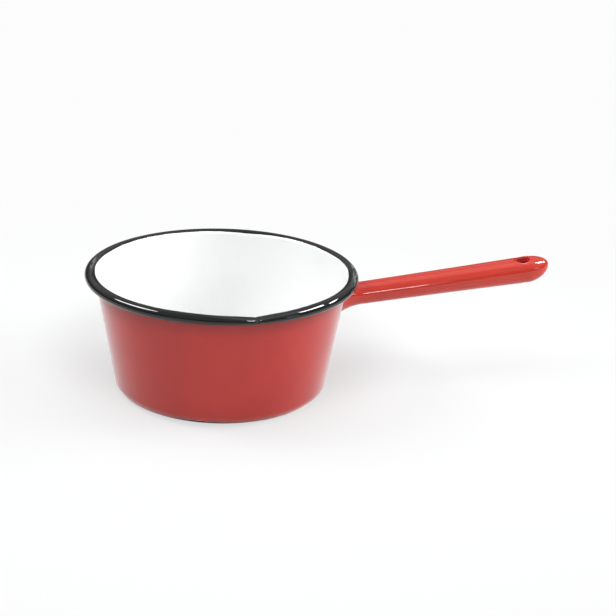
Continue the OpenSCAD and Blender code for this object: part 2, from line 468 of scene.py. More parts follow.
@dataclass(frozen=True)
class ScuffedGround(Finish):
    """Dark ground enamel of the underside, scuffed bright where the pan slides on a hob."""

    name: str = "ground_enamel_scuffed"
    colour: Colour = (0.018, 0.019, 0.024)
    bare: Colour = (0.20, 0.20, 0.21)
    fleck: Colour = (0.10, 0.105, 0.12)
    fleck_size: float = 0.7 * MM
    fleck_band: Span = (0.66, 0.72)
    scratch_size: float = 2.4 * MM
    scratch_stretch: Triple = (1.0, 7.0, 1.0)
    scratch_band: Span = (0.58, 0.68)
    scratch_depth: float = 0.02 * MM
    scuffed_height: float = 0.25 * MM
    roughness: float = 0.22
    scuffed_rougher: float = 0.35
    scuffed_metallic: float = 0.6

    def sockets(self, shader: Shader) -> Sockets:
        """Gives the ground coat's sockets.

        Args:
            shader: The shader that is built.

        Returns:
            Values and wires of the Principled shader.
        """
        drawn_out = shader.stretched(self.scratch_stretch)
        scratches = shader.noise(self.scratch_size, detail=5.0, roughness=0.7, at=drawn_out)
        low = 1 - shader.band(shader.axes(shader.place)["Z"], 0.0, self.scuffed_height)
        scuffs = shader.band(scratches, *self.scratch_band) * low
        flecks = shader.band(shader.noise(self.fleck_size, detail=1.0), *self.fleck_band)
        return {
            "Base Color": shader.mix(scuffs, shader.mix(flecks, self.colour, self.fleck), self.bare),
            "Roughness": self.roughness + scuffs * self.scuffed_rougher,
            "Metallic": scuffs * self.scuffed_metallic,
            "Normal": shader.bump(scratches, self.scratch_depth),
        }


@dataclass(frozen=True)
class DullSteel(Finish):
    """Pressed sheet inside the handle, drawn lengthwise and stained by red enamel, bright red partly as
    painted light inside the hanging hole.
    """

    name: str = "steel_sheet_dull"
    # The red is the enamel stain inside the handle; its brightness is painted light for the inside of the
    # hanging hole.
    colour: Colour = (0.74, 0.12, 0.10)
    stain: Colour = (0.48, 0.04, 0.04)
    stain_size: float = 2.2 * MM
    stain_band: Span = (0.4, 0.6)
    draw_stretch: Triple = (0.12, 1.0, 1.0)
    draw_size: float = 0.8 * MM
    draw_depth: float = 0.01 * MM
    roughness: float = 0.3
    drawn_rougher: float = 0.25
    metallic: float = 0.3

    def sockets(self, shader: Shader) -> Sockets:
        """Gives the sheet's sockets.

        Args:
            shader: The shader that is built.

        Returns:
            Values and wires of the Principled shader.
        """
        lines = shader.noise(self.draw_size, detail=3.0, at=shader.stretched(self.draw_stretch))
        stains = shader.band(shader.noise(self.stain_size, detail=3.0), *self.stain_band)
        return {
            "Base Color": shader.mix(stains, self.colour, self.stain),
            "Roughness": self.roughness + lines * self.drawn_rougher,
            "Metallic": self.metallic,
            "Normal": shader.bump(lines, self.draw_depth),
        }


@dataclass(frozen=True)
class WeldBead(Finish):
    """Bead of weld with its ripples and heat tint."""

    name: str = "weld_bead"
    colour: Colour = (0.16, 0.15, 0.15)
    heat: Colour = (0.10, 0.07, 0.09)
    heat_size: float = 2.0 * MM
    ripple_size: float = 2.7 * MM
    ripple_depth: float = 0.08 * MM
    ripple_waver: float = 2.0
    roughness: float = 0.35
    rippled_rougher: float = 0.2
    metallic: float = 0.9

    def sockets(self, shader: Shader) -> Sockets:
        """Gives the weld's sockets.

        Args:
            shader: The shader that is built.

        Returns:
            Values and wires of the Principled shader.
        """
        ripples = shader.node("ShaderNodeTexWave", {"wave_profile": "SIN"}, {
            "Vector": shader.place, "Scale": 1 / self.ripple_size,
            "Distortion": self.ripple_waver})["Fac"]
        return {
            "Base Color": shader.mix(shader.noise(self.heat_size, detail=2.0), self.colour, self.heat),
            "Roughness": self.roughness + ripples * self.rippled_rougher,
            "Metallic": self.metallic,
            "Normal": shader.bump(ripples, self.ripple_depth),
        }


@dataclass
class Skin:
    """Points and faces of one sheet of enamel, collected grid by grid."""

    points: list[np.ndarray] = field(default_factory=list)
    faces: list[tuple[int, ...]] = field(default_factory=list)
    count: int = 0

    def add_grid(self, grid: np.ndarray,
                 keep: Callable[[int, int], bool] = lambda i, j: True) -> np.ndarray:
        """Adds a grid of points and its quads, with the last column joined to the first.

        Args:
            grid: Points by row and column, as an array of rows x columns x 3.
            keep: Says whether the quad after a row and a column is kept.

        Returns:
            The number of each point, by row and column.
        """
        rows, cols = grid.shape[:2]
        index = self.count + np.arange(rows * cols).reshape(rows, cols)
        self.points.append(grid.reshape(-1, 3))
        self.count += rows * cols
        for i in range(rows - 1):
            for j in range(cols):
                if keep(i, j):
                    k = (j + 1) % cols
                    self.faces.append((index[i, j], index[i + 1, j], index[i + 1, k], index[i, k]))
        return index

    def join(self, first: Sequence[int], second: Sequence[int]) -> None:
        """Adds the quads between two closed loops of as many points."""
        pairs = zip(first, second, np.roll(second, -1), np.roll(first, -1))
        self.faces += [tuple(int(v) for v in quad) for quad in pairs]

    def close(self, ring: Sequence[int], tip: np.ndarray) -> None:
        """Closes a ring of points with triangles to a tip.

        Args:
            ring: Numbers of the ring's points.
            tip: Place of the tip.
        """
        self.points.append(tip.reshape(1, 3))
        self.faces += [(a, self.count, b) for a, b in zip(ring, np.roll(ring, -1))]
        self.count += 1

    def piece(self, name: str, thickness: float, outward: Callable[[Vector], Vector]) -> bpy.types.Object:
        """Makes the Blender object, a closed solid of even thickness below the sheet.

        Args:
            name: Name of the piece.
            thickness: Thickness of the enamel.
            outward: Gives a direction that leaves the visible side at a point.

        Returns:
            The object, in place in the model's frame.
        """
        mesh = bpy.data.meshes.new(name)
        used = sorted({v for face in self.faces for v in face})
        number = {v: k for k, v in enumerate(used)}
        points = np.concatenate(self.points)[used]
        mesh.from_pydata(points.tolist(), [], [[number[v] for v in face] for face in self.faces])
        shape = bmesh.new()
        shape.from_mesh(mesh)
        bmesh.ops.recalc_face_normals(shape, faces=shape.faces)
        shape.to_mesh(mesh)
        shape.free()
        mesh.update()
        face = mesh.polygons[0]
        if face.normal.dot(outward(face.center)) < 0:
            mesh.flip_normals()
        mesh.shade_smooth()
        made = bpy.data.objects.new(name, mesh)
        bpy.context.scene.collection.objects.link(made)
        solid = made.modifiers.new("thickness", "SOLIDIFY")
        solid.thickness = thickness
        solid.offset = -1.0
        return made


def smooth(value: Any) -> Any:
    """Smooth step from 0 to 1."""
    held = np.clip(value, 0.0, 1.0)
    return held * held * (3 - 2 * held)


def mixed(first: Any, second: Any, share: Any) -> Any:
    """Point or number between two others."""
    return first + (second - first) * share


def turned_from(turn: Any, middle: float) -> Any:
    """Angle from a middle direction, at most half a turn either way."""
    return (turn - middle + math.pi) % (2 * math.pi) - math.pi


def finish_piece(piece: bpy.types.Object, finish: Finish, node: str) -> None:
    """Dresses a piece, sets it on its body and lets it stand for its node.

    Args:
        piece: The piece.
        finish: Its finish.
        node: The node that it stands for.
    """
    piece.data.materials.append(finish.material())
    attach(piece, BODY)
    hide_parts(node)
    LOG.info("%s stands for %s", piece.name, node)


@dataclass
class PressedPan:
    """The pan: its profile is followed by a share, as along the pressed sheet.

    A share of 0 to 1 is the flat base, 1 to 2 the corner, 2 to 3 the wall, and 3 to 6 the rolled
    rim, which reaches its top at 4 and its outside at 5. Ridges and brush dabs are given by their
    direction and width in degrees, and by their height in millimetres or their reach in degrees.
    """

    rim_radius: float
    height: float
    flat_radius: float = 57.9 * MM
    corner_radius: float = 8.6 * MM
    steel: float = 0.8 * MM
    enamel: float = 0.2 * MM
    bead_width: float = 7.4 * MM
    bead_height: float = 6.1 * MM
    curl_end: float = math.radians(-135)
    lip_drop: float = 1.75 * MM
    lip_rise: float = 0.5 * MM
    lip_spread: float = 0.9 * MM
    lip_depth: float = 26 * MM
    lip_half_angle: float = math.radians(32)
    crease_half_angle: float = math.radians(8)
    crease_round: float = math.radians(0.6)
    crease_power: float = 1.5
    broad_share: float = 0.6
    ridges: tuple[Triple, ...] = ((0.0, 0.5, -0.10), (1.3, 0.6, 0.05))
    ridge_fade: Span = (1.2, 0.5)
    ridge_span: float = math.radians(7)
    ridge_columns: int = 71
    columns: int = 360
    rim_columns: int = 570
    white_lap: float = 0.06 * MM
    white_thins: Span = (2.9, 0.1)
    white_end: float = 3.75
    red_end: float = 2.97
    brush_edge: float = math.radians(132)
    brush_lap: float = math.radians(5)
    brush_waves: tuple[Triple, ...] = ((1.1, 13, 0.4), (0.9, 23, 1.9), (0.6, 41, 0.0))
    brush_dabs: tuple[Triple, ...] = (
        (66, 13, 13), (20, 14, 8), (95, 9, 4), (140, 20, 8), (185, 26, 5), (-28, 17, 5), (-150, 20, -5))
    drip: Span = (math.radians(1.9), math.radians(64))
    drip_size: Span = (2.2 * MM, 1.1 * MM)
    drip_height: float = 0.15 * MM
    ground_end: float = 1.22
    # The dark ground coat reaches further up on the front left as a painted shade line along the base.
    painted_shade_turn: float = math.radians(-116)
    painted_shade_half_angle: float = math.radians(44)
    painted_shade_rise: float = 0.42
    base_rows: int = 16
    corner_rows: int = 14
    inside_rows: int = 24
    lap_rows: int = 12
    skirt_rows: int = 16
    outside_rows: int = 40
    ground_rows: int = 6
    rim_rows: int = 78

    @classmethod
    def from_frame(cls) -> "PressedPan":
        """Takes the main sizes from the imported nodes."""
        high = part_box("rim_coat")[1]
        return cls(rim_radius=high.x, height=high.z)

    def __post_init__(self) -> None:
        """Works out the sizes that follow from the others."""
        self.wall = self.steel + 2 * self.enamel
        self.bead_low = self.height - self.bead_height
        self.bead_radius = self.rim_radius - self.bead_width / 2
        self.bead_middle = self.height - self.bead_height / 2
        across = self.rim_radius - self.bead_width + self.wall - self.flat_radius
        up = self.bead_middle - self.corner_radius
        self.lean = math.acos(self.corner_radius / math.hypot(across, up)) - math.atan2(up, across)

    def corner_point(self, depth: Any, turn: Any) -> np.ndarray:
        """Point of the corner's arc below the outside by a depth."""
        reach = self.corner_radius - depth
        return np.stack([self.flat_radius + reach * np.sin(turn),
                         self.corner_radius - reach * np.cos(turn)], -1)

    def bead_half(self, depth: Any) -> tuple[Any, Any]:
        """Half of the rolled rim's width and of its height."""
        inset = depth - self.wall
        return self.bead_width / 2 + inset, self.bead_height / 2 + inset

    def bead_point(self, depth: Any, turn: Any) -> np.ndarray:
        """Point of the rolled rim at an angle round its middle."""
        wide, high = self.bead_half(depth)
        return np.stack([self.bead_radius + wide * np.cos(turn),
                         self.bead_middle + high * np.sin(turn)], -1)

    def bead_start(self, depth: Any) -> Any:
        """Angle round the rim's middle at which the wall runs into it."""
        wide, high = self.bead_half(depth)
        return math.pi - np.arctan(high / wide * math.tan(self.lean))

    def bead_turn(self, depth: Any, share: Any) -> Any:
        """Angle round the rim's middle.

        Args:
            depth: Depth below the outside of the pan.
            share: Share of the way along the sheet, from 3 to 6.

        Returns:
            The angle.
        """
        rising = mixed(self.bead_start(depth), math.pi / 2, share - 3)
        falling = np.where(share <= 5, math.pi / 2 * (5 - share), self.curl_end * (share - 5))
        return np.where(share <= 4, rising, falling)

    def sheet_point(self, depth: Any, share: Any) -> np.ndarray:
        """Point of the profile, as its distance from the axis and its height.

        Args:
            depth: Depth below the outside of the pan.
            share: Share of the way along the sheet.

        Returns:
            The two lengths, in the last axis of the array.
        """
        depth, share = np.broadcast_arrays(np.asarray(depth, float), np.asarray(share, float))
        top = math.pi / 2 - self.lean
        flat = np.stack([self.flat_radius * share, depth], -1)
        corner = self.corner_point(depth, (share - 1) * top)
        start = self.bead_point(depth, self.bead_start(depth))
        wall = mixed(self.corner_point(depth, top), start, (share - 2)[..., None])
        bead = self.bead_point(depth, self.bead_turn(depth, share))
        picked = np.where((share <= 1)[..., None], flat, corner)
        picked = np.where((share > 2)[..., None], wall, picked)
        return np.where((share > 3)[..., None], bead, picked)

    def lip_strength(self, turn: np.ndarray) -> np.ndarray:
        """How much of the lip's shape there is.

        Args:
            turn: Directions round the pan.

        Returns:
            The strength at each direction, 1 in the lip's middle.
        """
        away = np.abs(turned_from(turn, LIP_TURN))
        swell = np.cos(math.pi / 2 * away / self.lip_half_angle) ** 2
        broad = np.where(away < self.lip_half_angle, swell, 0)
        sharp = np.hypot(away, self.crease_round) - self.crease_round
        crease = np.clip(1 - sharp / self.crease_half_angle, 0, 1) ** self.crease_power
        return mixed(crease, broad, self.broad_share)

    def ridge_height(self, turn: np.ndarray, angle: np.ndarray) -> np.ndarray:
        """Height of the ridges beside the lip's fold, and of a drip of enamel on the rolled rim.

        Args:
            turn: Direction round the pan.
            angle: Angle on the rolled rim.

        Returns:
            The height above the even roll.
        """
        height = np.zeros(turn.shape)
        for direction, width, reach in self.ridges:
            away = np.degrees(turned_from(turn, LIP_TURN + math.radians(direction)))
            height = height + reach * MM * np.exp(-np.square(away / width))
        slope, level = self.ridge_fade
        aside = (turn - LIP_TURN - self.drip[0]) * self.rim_radius
        across = (angle - self.drip[1]) * self.bead_width / 2
        drip = np.exp(-np.square(aside * 2 / self.drip_size[0]) - np.square(across * 2 / self.drip_size[1]))
        return height * smooth(np.sin(angle) * slope + level) + self.drip_height * drip

    def placed(self, profile: np.ndarray, turn: np.ndarray) -> np.ndarray:
        """Profile points turned round the pan and pressed into the lip.

        Args:
            profile: Distance from the axis and height, in the last axis.
            turn: Direction of each point round the pan.

        Returns:
            The points in the model's frame.
        """
        strength = self.lip_strength(turn)
        radius, height = profile[..., 0], profile[..., 1]
        low = smooth((height - self.bead_low + self.lip_depth) / self.lip_depth)
        high = np.clip((height - self.bead_low) / self.bead_height, 0, 1)
        radius = radius + strength * self.lip_spread * low
        height = height + strength * (self.lip_rise * low - (self.lip_rise + self.lip_drop) * high)
        return np.stack([radius * np.cos(turn), radius * np.sin(turn), height], -1)

    def turns(self, columns: int) -> np.ndarray:
        """Directions round the pan, closer together at the fold of the lip.

        Args:
            columns: How many there would be with even steps.

        Returns:
            The directions, in rising order.
        """
        around = np.arange(columns) * 2 * math.pi / columns - math.pi
        lip = np.linspace(-1, 1, self.ridge_columns) * self.ridge_span + LIP_TURN
        clear = np.abs(around - LIP_TURN) > self.ridge_span + math.pi / columns
        return np.sort(np.concatenate([around[clear], lip]))

    def surface(self, depth: Any, shares: np.ndarray) -> np.ndarray:
        """Grid of points over the pan at a depth.

        Args:
            depth: Depth below the outside of the pan.
            shares: Shares along the sheet by row, or by row and column.

        Returns:
            The points by row and column.
        """
        turn = self.turns(self.columns)[None, :]
        share = np.broadcast_to(shares.reshape(len(shares), -1), (len(shares), turn.size))
        return self.placed(self.sheet_point(depth, share), np.broadcast_to(turn, share.shape))

    def brushed_turn(self, turn: np.ndarray) -> np.ndarray:
        """Where the black enamel starts, uneven as a brush leaves it.

        Args:
            turn: Directions round the pan.

        Returns:
            The angle on the rolled rim at each direction.
        """
        edge = sum(reach * np.sin(count * turn + start) for reach, count, start in self.brush_waves)
        for direction, width, reach in self.brush_dabs:
            away = turned_from(turn, math.radians(direction))
            edge = edge + reach * np.exp(-np.square(away / math.radians(width)))
        return self.brush_edge + np.radians(edge)

    def ground_edge(self) -> np.ndarray:
        """Share at which the wall's enamel starts, with the dark ground coat further up on one side as
        painted shade.
        """
        away = np.abs(turned_from(self.turns(self.columns), self.painted_shade_turn))
        return self.ground_end + self.painted_shade_rise * (1 - smooth(away / self.painted_shade_half_angle))

    def build_inside(self) -> bpy.types.Object:
        """Builds the white enamel, from the middle of the base to under the black of the rim.

        Returns:
            The piece.
        """
        shares = np.concatenate([
            np.linspace(0, 1, self.base_rows)[1:-1], np.linspace(1, 2, self.corner_rows)[:-1],
            np.linspace(2, 3, self.inside_rows)[:-1], np.linspace(3, self.white_end, self.lap_rows)])
        start, run = self.white_thins
        lap = self.white_lap * smooth((shares - start) / run)
        skin = Skin()
        index = skin.add_grid(self.surface((self.wall - lap)[:, None], shares))
        skin.close(index[0], np.array([0.0, 0.0, self.wall]))
        return skin.piece("inside_enamel", self.enamel - self.white_lap, lambda p: Vector((0, 0, 1)))

    def build_outside(self) -> bpy.types.Object:
        """Builds the red enamel of the corner and the wall, up into the fold of the rim.

        Returns:
            The piece.
        """
        edge = self.ground_edge()
        shares = np.concatenate([np.linspace(edge, 2, self.skirt_rows)[:-1],
                                 np.linspace(2 + 0 * edge, self.red_end, self.outside_rows)])
        skin = Skin()
        skin.add_grid(self.surface(0.0, shares))
        return skin.piece("outside_enamel", self.enamel, lambda p: Vector((p.x, p.y, 0)))

    def build_base(self) -> bpy.types.Object:
        """Builds the dark ground enamel of the underside.

        Returns:
            The piece.
        """
        edge = self.ground_edge()
        shares = np.concatenate([np.linspace(0 * edge, 1, self.base_rows)[1:-1],
                                 np.linspace(1 + 0 * edge, edge, self.ground_rows)])
        skin = Skin()
        index = skin.add_grid(self.surface(0.0, shares))
        skin.close(index[0], np.zeros(3))
        return skin.piece("underside_enamel", self.enamel, lambda p: Vector((0, 0, -1)))

    def build_rim(self) -> bpy.types.Object:
        """Builds the black enamel round the rolled rim, with its brushed edge inside the pan.

        Returns:
            The piece.
        """
        turn = self.turns(self.rim_columns)[None, :]
        start = self.brushed_turn(turn)
        angle = mixed(start, self.curl_end, np.linspace(0, 1, self.rim_rows)[:, None])
        edge = 1 - smooth((start - angle) / self.brush_lap)
        raised = self.ridge_height(turn, angle)
        profile = self.bead_point(self.wall - edge * self.white_lap + raised, angle)
        skin = Skin()
        skin.add_grid(self.placed(profile, np.broadcast_to(turn, angle.shape)))
        return skin.piece("rim_enamel", self.enamel, lambda p: Vector((-p.x, -p.y, p.z)))

    def dress(self) -> None:
        """Builds the pan's pieces and dresses them."""
        white = VitreousEnamel(
            "white_enamel_gloss", colour=(0.832, 0.838, 0.834), mottle=(0.806, 0.822, 0.816),
            roughness=0.23, speck=(0.25, 0.24, 0.22), speck_edge=0.04)
        red = WallEnamel(
            "red_enamel_gloss", colour=(0.415, 0.018, 0.010), mottle=(0.350, 0.012, 0.008), haze=0.75)
        black = BrushedRimEnamel(
            "black_enamel_brushed", colour=(0.003, 0.003, 0.0032), mottle=(0.006, 0.006, 0.0065),
            roughness=0.035, smudge=0.04, peel_depth=0.08 * MM, ior=1.5)
        finish_piece(self.build_inside(), white, "inner_coat")
        finish_piece(self.build_outside(), red, "outer_coat")
        finish_piece(self.build_rim(), black, "rim_coat")
        finish_piece(self.build_base(), ScuffedGround(), "base_coat")


@dataclass
class HollowHandle:
    """The handle: its rings are placed by their distance from the wall.

    The upper side of the hanging hole has a side of 1, and the lower one a side of -1.
    """

    pan: PressedPan
    tip: float
    root_radius: float
    root_height: float
    rise: float = math.radians(4.4)
    flare: float = 17 * MM
    neck: Span = (14.2 * MM, 13.6 * MM)
    grip: Span = (18.8 * MM, 15.8 * MM)
    nose: float = 15.8 * MM
    nose_lift: float = 1.9 * MM
    neck_power: float = 2.0
    grip_power: float = 2.4
    squaring_power: float = 3.0
    flare_power: float = 2.2
    seat_gap: float = 0.02 * MM
    fillet: float = 2.4 * MM
    hole_radius: float = 5.5 * MM
    hole_inset: float = 18 * MM
    hole_rounding: float = 1.0 * MM
    collar: float = 4.0 * MM
    seam_height: float = 0.10 * MM
    seam_width: float = 0.9 * MM
    seam_inset: float = 26 * MM
    seam_fade: float = 8 * MM
    sides: int = 96
    hole_sides: int = 9
    calm_sides: int = 17
    ring_step: float = 0.7 * MM
    fillet_rings: int = 9
    flare_rings: int = 22
    flare_reach: float = 1.3
    grip_rings: int = 44
    nose_rings: int = 20
    bend_rings: int = 8
    bore_rings: int = 5
    edge_passes: int = 4

    @classmethod
    def from_frame(cls, pan: PressedPan) -> "HollowHandle":
        """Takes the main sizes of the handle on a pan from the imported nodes."""
        low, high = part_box("handle_coat")
        return cls(pan=pan, tip=high.x, root_radius=high.y - pan.enamel, root_height=low.z + high.y)

    def __post_init__(self) -> None:
        """Works out the sizes that follow from the others."""
        self.foot = self.pan.corner_point(self.pan.enamel, math.pi / 2 - self.pan.lean)
        self.root_x = self.wall_x(0.0, self.root_height)
        self.length = self.tip - self.pan.enamel - self.root_x - self.seat_gap
        self.nose_start = self.length - self.nose
        self.hole_along = self.length - self.hole_inset
        self.hole = Vector((self.root_x + self.hole_along, 0, self.middle(self.hole_along)))
        self.hole_axis = Vector((-math.sin(self.rise), 0, math.cos(self.rise)))

    def wall_x(self, y: Any, z: Any) -> Any:
        """Distance of the pan's steel wall from the middle along X."""
        radius = self.foot[0] + (z - self.foot[1]) * math.tan(self.pan.lean)
        return np.sqrt(radius ** 2 - np.square(y))

    def middle(self, along: Any) -> Any:
        """Height of the handle's middle line."""
        lifted = np.clip((along - self.nose_start) / self.nose, 0, None)
        return self.root_height + along * math.tan(self.rise) + self.nose_lift * lifted ** 2

    def half_size(self, along: Any, axis: int) -> Any:
        """Half of the handle's width or height, with its enamel.

        Args:
            along: Distance from the wall.
            axis: 0 for the width and 1 for the height.

        Returns:
            The half size.
        """
        grip_share = np.minimum(1, along / self.nose_start)
        flare_share = np.clip(1 - along / self.flare, 0, None) ** self.flare_power
        half = mixed(mixed(self.neck[axis], self.grip[axis], grip_share) / 2, self.root_radius, flare_share)
        left = np.clip(1 - (along - self.pan.enamel) / self.fillet, 0, 1)
        painted_hole_light = self.fillet * (1 - np.sqrt(1 - left ** 2))
        rounded = np.clip((along - self.nose_start) / (self.nose + self.pan.enamel), 0, 1)
        return (half + self.pan.enamel + painted_hole_light) * np.sqrt(1 - rounded ** 2)

    def power(self, along: Any) -> Any:
        """Roundness of the section: 2 is an ellipse."""
        share = np.minimum(1, along / self.nose_start) ** self.squaring_power
        return mixed(self.neck_power, self.grip_power, share)

    def skin_point(self, along: Any, turn: Any) -> np.ndarray:
        """Point of the handle's skin, with a shallow groove below over the seam.

        Args:
            along: Distance from the wall.
            turn: Angle round the handle.

        Returns:
            The point in the model's frame.
        """
        along, turn = np.broadcast_arrays(np.asarray(along, float), np.asarray(turn, float))
        share = 2 / self.power(along)
        cos, sin = np.cos(turn), np.sin(turn)
        y = self.half_size(along, 0) * np.sign(cos) * np.abs(cos) ** share
        height = self.half_size(along, 1) * np.sign(sin) * np.abs(sin) ** share
        seam = self.seam_height * np.exp(-np.square(y / self.seam_width)) * (sin < 0)
        past_root = smooth((along - self.flare) / self.flare)
        past_end = smooth((along - self.hole_along + self.seam_inset) / self.seam_fade)
        z = self.middle(along) + height - seam * past_root * (1 - past_end)
        settled = np.minimum(1, along / self.flare)
        x = along + self.seat_gap + mixed(self.wall_x(y, z), self.root_x, settled)
        return np.stack([x, y, z], -1)

    def top_point(self, x: Any, y: Any, side: int) -> np.ndarray:
        """Point of the skin above or below a place of the grip.

        Args:
            x: The place along X.
            y: The place along Y.
            side: Side of the hole.

        Returns:
            The point in the model's frame.
        """
        along = x - self.root_x - self.seat_gap
        power = self.power(along)
        flat = np.clip(np.abs(y) / self.half_size(along, 0), 0, 1)
        height = self.half_size(along, 1) * (1 - flat ** power) ** (1 / power)
        return np.stack([x, y, self.middle(along) + side * height], -1)

    def hole_point(self, radius: Any, turn: Any, height: Any) -> np.ndarray:
        """Point round the hanging hole's axis.

        Args:
            radius: Distance from the axis.
            turn: Angle round it.
            height: Height along it.

        Returns:
            The point in the model's frame.
        """
        radius, turn, height = np.broadcast_arrays(*(np.asarray(v, float) for v in (radius, turn, height)))
        cos, sin = math.cos(self.rise), math.sin(self.rise)
        out = radius * np.cos(turn)
        return np.stack([self.hole.x + out * cos - height * sin, radius * np.sin(turn),
                         self.hole.z + out * sin + height * cos], -1)

    def edge_height(self, radius: float, turn: np.ndarray, side: int) -> np.ndarray:
        """Height along the hole's axis at which a circle round it meets the skin.

        Args:
            radius: Radius of the circle.
            turn: Angles round the axis.
            side: Side of the hole.

        Returns:
            The height at each angle.
        """
        height = np.full(turn.shape, side * self.grip[1] / 2)
        for _ in range(self.edge_passes):
            point = self.hole_point(radius, turn, height)
            skin = self.top_point(point[..., 0], point[..., 1], side)
            height = height + (skin[..., 2] - point[..., 2]) / math.cos(self.rise)
        return height

    def alongs(self) -> tuple[np.ndarray, int]:
        """Places the rings of the skin.

        Returns:
            Distances of the rings from the wall, and the number of the ring at the hole.
        """
        opening = np.linspace(0, math.pi / 2, self.fillet_rings)
        fillet = self.fillet * (1 - np.cos(opening))[:-1]
        straight = self.flare * self.flare_reach
        flare = np.linspace(self.fillet, straight, self.flare_rings)[:-1]
        round_hole = self.hole_along + self.ring_step * np.arange(-self.calm_sides, self.calm_sides + 1)
        grip = np.linspace(straight, round_hole[0], self.grip_rings)[:-1]
        last = math.asin((round_hole[-1] - self.nose_start) / self.nose)
        tip = self.nose_start + self.nose * np.sin(np.linspace(last, math.pi / 2, self.nose_rings))[1:-1]
        before = len(fillet) + len(flare) + len(grip)
        return np.concatenate([fillet, flare, grip, round_hole, tip]), before + self.calm_sides

    def drawn_to_hole(self, grid: np.ndarray, ring: int, column: int, side: int) -> None:
        """Moves the grid's points near the hole, so that its rows and columns run round it.

        Args:
            grid: The skin's points, changed in place.
            ring: Number of the ring at the hole's middle.
            column: Number of the column at the hole's middle.
            side: Side of the hole.
        """
        reach = self.calm_sides
        steps = np.arange(-reach, reach + 1)
        i, j = np.meshgrid(steps, steps, indexing="ij")
        norm = np.maximum(np.abs(i), np.abs(j)) / self.hole_sides
        moved = (norm >= 1) & (norm < reach / self.hole_sides)
        i, j, norm = i[moved], j[moved], norm[moved]
        level = norm * self.hole_sides
        on_ends = np.abs(i) >= np.abs(j)
        turn = np.where(on_ends, math.pi / 4 * j / level, math.pi / 2 - math.pi / 4 * i / level)
        turn = np.where(on_ends & (i < 0), math.pi - math.pi / 4 * j / level, turn)
        turn = np.where(~on_ends & (j < 0), -math.pi / 2 + math.pi / 4 * i / level, turn)
        rows, cols = ring + i, (column - side * j) % self.sides
        old = grid[rows, cols]
        radius = (self.hole_radius + self.hole_rounding) * norm
        circle = self.hole_point(radius, turn, side * self.grip[1] / 2)
        calm = smooth((norm - 1) / (reach / self.hole_sides - 1))[..., None]
        target = mixed(circle[..., :2], old[..., :2], calm)
        grid[rows, cols] = self.top_point(target[..., 0], target[..., 1], side)

    def build(self) -> bpy.types.Object:
        """Builds the red enamel: skin, rounded end and turned-in hanging hole.

        Returns:
            The piece.
        """
        alongs, ring = self.alongs()
        turns = np.arange(self.sides) * 2 * math.pi / self.sides
        grid = self.skin_point(alongs[:, None], turns[None, :])
        quarter, half = self.sides // 4, self.hole_sides
        columns = {1: quarter, -1: 3 * quarter}
        for side, column in columns.items():
            self.drawn_to_hole(grid, ring, column, side)

        def outside_hole(i: int, j: int) -> bool:
            """Whether a quad of the skin lies outside the hanging hole."""
            near = min(abs(j + 0.5 - column) for column in columns.values())
            return abs(i + 0.5 - ring) > half or near > half

        skin = Skin()
        index = skin.add_grid(grid, keep=outside_hole)
        skin.close(index[-1], self.tip_point())
        for side, column in columns.items():
            self.add_collar(skin, index, ring, column, side)
        return skin.piece("handle_enamel", self.pan.enamel,
                          lambda p: Vector((0, p.y, p.z - self.root_height)))

    def tip_point(self) -> np.ndarray:
        """The very end of the handle."""
        along = self.length + self.pan.enamel
        return np.array([self.root_x + self.seat_gap + along, 0.0, self.middle(along)])

    def add_collar(self, skin: Skin, index: np.ndarray, ring: int, column: int, side: int) -> None:
        """Turns the skin in at the hanging hole, over a round edge and along its bore.

        Args:
            skin: The handle's skin.
            index: Numbers of its points.
            ring: Number of the ring at the hole's middle.
            column: Number of the column at the hole's middle.
            side: Side of the hole.
        """
        half = self.hole_sides
        walk = ([(half, j) for j in range(-half, half)] + [(-i, half) for i in range(-half, half)]
                + [(-half, -j) for j in range(-half, half)] + [(i, -half) for i in range(-half, half)])
        loop = [int(index[ring + i, (column - side * j) % self.sides]) for i, j in walk]
        turn = (np.arange(len(walk)) - half) * 2 * math.pi / len(walk)
        outer = self.hole_radius + self.hole_rounding
        height = self.edge_height(outer, turn, side)
        bend = np.linspace(0, math.pi / 2, self.bend_rings + 1)[1:, None]
        radius = outer - self.hole_rounding * np.sin(bend)
        fall = height[None, :] - side * self.hole_rounding * (1 - np.cos(bend))
        end = side * (self.grip[1] / 2 - self.collar)
        down = np.linspace(0, 1, self.bore_rings + 1)[1:, None]
        bore = mixed(fall[-1][None, :], end, down)
        rows = np.concatenate([self.hole_point(radius, turn[None, :], fall),
                               self.hole_point(self.hole_radius, turn[None, :], bore)])
        inner = skin.add_grid(rows)
        skin.join(loop, inner[0])

    def dress(self) -> None:
        """Builds the handle's piece and dresses it."""
        red = HandleEnamel(
            "red_enamel_handle", colour=(0.45, 0.030, 0.017), mottle=(0.40, 0.023, 0.013),
            hole=self.hole, hole_axis=self.hole_axis, hole_radius=self.hole_radius)
        finish_piece(self.build(), red, "handle_coat")


class Face(Enum):
    """Shapes of a lamp's face."""

    OBLONG = "RECTANGLE"
    OVAL = "ELLIPSE"


PAN_MIDDLE = Vector((0, 0, 0.05))
LIP_TOP = Vector((0, -0.083, 0.075))
HANDLE_NECK = Vector((0.11, 0, 0.06))


def toward(azimuth: float, elevation: float) -> Vector:
    """Unit vector of an azimuth and an elevation in degrees; 0, 0 faces the front."""
    around, up = math.radians(azimuth), math.radians(elevation)
    return Vector((math.sin(around) * math.cos(up), -math.cos(around) * math.cos(up), math.sin(up)))


